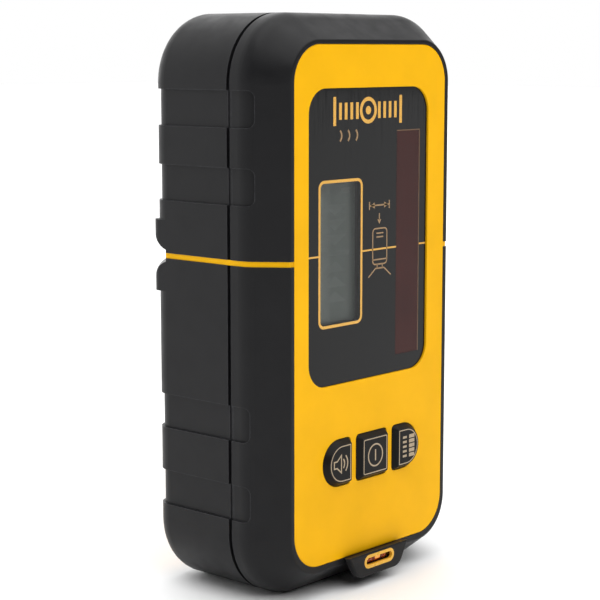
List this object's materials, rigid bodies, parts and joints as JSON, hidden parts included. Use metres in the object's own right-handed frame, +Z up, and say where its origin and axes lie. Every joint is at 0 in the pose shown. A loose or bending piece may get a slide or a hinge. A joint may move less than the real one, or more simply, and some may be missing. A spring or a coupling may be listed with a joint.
{
  "type": "laser line detector",
  "caption": "Handheld laser line detector: rubber-covered case with sensor window, display, three keys, spirit vial and a hinged battery door.",
  "frame": {"origin": "middle of the base of the bounding box, on the surface it stands on", "axes": "+Z up along the case's height, +X to the right seen from the display side, the display faces -Y"},
  "size_m": [0.0874, 0.0514, 0.169],
  "materials": {
    "yellow_housing": "satin moulded ABS, golden yellow",
    "black_rubber": "fine matt overmoulded rubber",
    "gasket_rubber": "soft black seal",
    "window_black": "smooth black printed acrylic",
    "clear_lens": "clear acrylic",
    "red_filter": "dark red optical filter",
    "display_glass": "grey liquid crystal glass",
    "black_plastic": "matt black moulded plastic",
    "white_plastic": "white diffuser",
    "circuit_green": "green solder mask",
    "silicon": "dark chip face",
    "key_black": "hard black rubber key caps",
    "vial_yellow": "yellow vial bezel",
    "vial_glass": "clear vial",
    "vial_amber": "amber spirit",
    "steel": "zinc plated steel",
    "brass": "knurled brass insert",
    "foam": "closed cell foam",
    "battery_case": "printed battery jacket",
    "wire_red": "red wire insulation",
    "wire_black": "black wire insulation"
  },
  "bodies": {
    "case": {"front_housing": "yellow_housing", "rear_housing": "yellow_housing", "front_grip_upper": "black_rubber", "front_grip_lower": "black_rubber", "rear_grip_upper": "black_rubber", "rear_grip_lower": "black_rubber", "case_gasket": "gasket_rubber", "window_bezel": "window_black", "window_adhesive": "gasket_rubber", "lcd_lens": "clear_lens", "sensor_filter": "red_filter", "lcd_frame": "black_plastic", "lcd_glass": "display_glass", "lcd_reflector": "white_plastic", "lcd_connector": "gasket_rubber", "sensor_frame": "black_plastic", "sensor_board": "circuit_green", "photodiodes": "silicon", "main_board": "circuit_green", "board_chips": "silicon", "board_capacitors": "black_plastic", "key_switches": "steel", "keypad_seal": "gasket_rubber", "vial_housing": "black_plastic", "vial_bezel": "vial_yellow", "vial_tube": "vial_glass", "vial_liquid": "vial_amber", "vial_rings": "black_plastic", "buzzer": "black_plastic", "buzzer_gasket": "foam", "buzzer_leads": "wire_black", "battery": "battery_case", "battery_snap": "black_plastic", "battery_lead_red": "wire_red", "battery_lead_black": "wire_black", "door_hinge_pin": "steel", "threaded_insert": "brass", "case_screws": "steel", "board_screws": "steel"},
    "volume_key": {"volume_key": "key_black"},
    "power_key": {"power_key": "key_black"},
    "accuracy_key": {"accuracy_key": "key_black"},
    "battery_door": {"battery_door": "black_plastic", "door_foam": "foam"}
  },
  "joints": [
    {"name": "volume_key_press", "type": "slide", "parent": "case", "child": "volume_key", "axis": [0, 1, 0], "range_m": [0, 0.0008], "stiffness_N_per_m": 900},
    {"name": "power_key_press", "type": "slide", "parent": "case", "child": "power_key", "axis": [0, 1, 0], "range_m": [0, 0.0008], "stiffness_N_per_m": 900},
    {"name": "accuracy_key_press", "type": "slide", "parent": "case", "child": "accuracy_key", "axis": [0, 1, 0], "range_m": [0, 0.0008], "stiffness_N_per_m": 900},
    {"name": "battery_door_hinge", "type": "hinge", "parent": "case", "child": "battery_door", "pos_m": [0, 0.0231, 0.0692], "axis": [1, 0, 0], "range_deg": [0, 90]}
  ]
}
